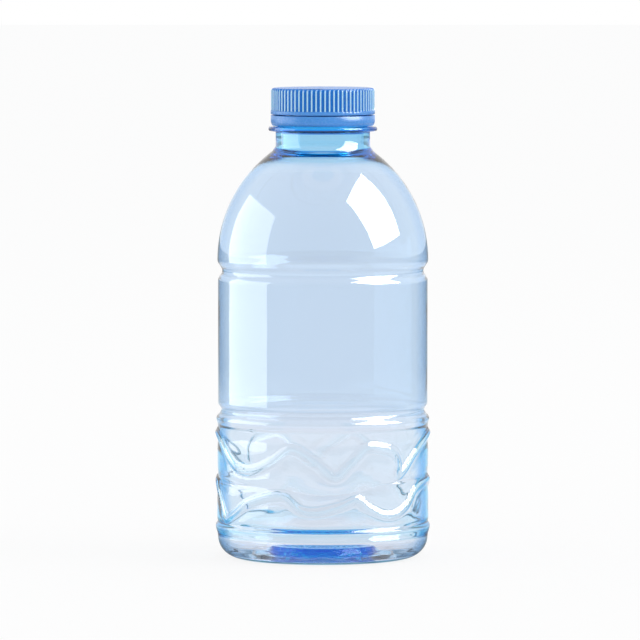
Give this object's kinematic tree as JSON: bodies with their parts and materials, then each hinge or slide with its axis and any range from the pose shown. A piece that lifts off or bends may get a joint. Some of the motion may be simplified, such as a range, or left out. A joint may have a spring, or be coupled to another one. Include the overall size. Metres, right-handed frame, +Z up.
{
  "type": "plastic water bottle",
  "caption": "Small clear blow-moulded water bottle with two wavy grip ridges, hoops, a domed shoulder, a ribbed screw cap and a loose tamper band.",
  "frame": {"origin": "middle of the standing ring, on the surface the bottle stands on", "axes": "+Z up along the bottle's axis, -Y towards the front that the picture shows, +X to the right"},
  "size_m": [0.0652, 0.0652, 0.1418],
  "materials": {
    "clear_plastic": "clear, pale blue, glossy",
    "cap_plastic": "moulded, slightly translucent, satin"
  },
  "bodies": {
    "bottle_body": {"bottle": "clear_plastic", "tamper_band": "cap_plastic"},
    "cap_body": {"cap": "cap_plastic"}
  },
  "joints": [
    {"name": "cap_lift", "type": "slide", "parent": "bottle_body", "child": "cap_body", "axis": [0, 0, 1], "range_m": [0, 0.03]}
  ]
}
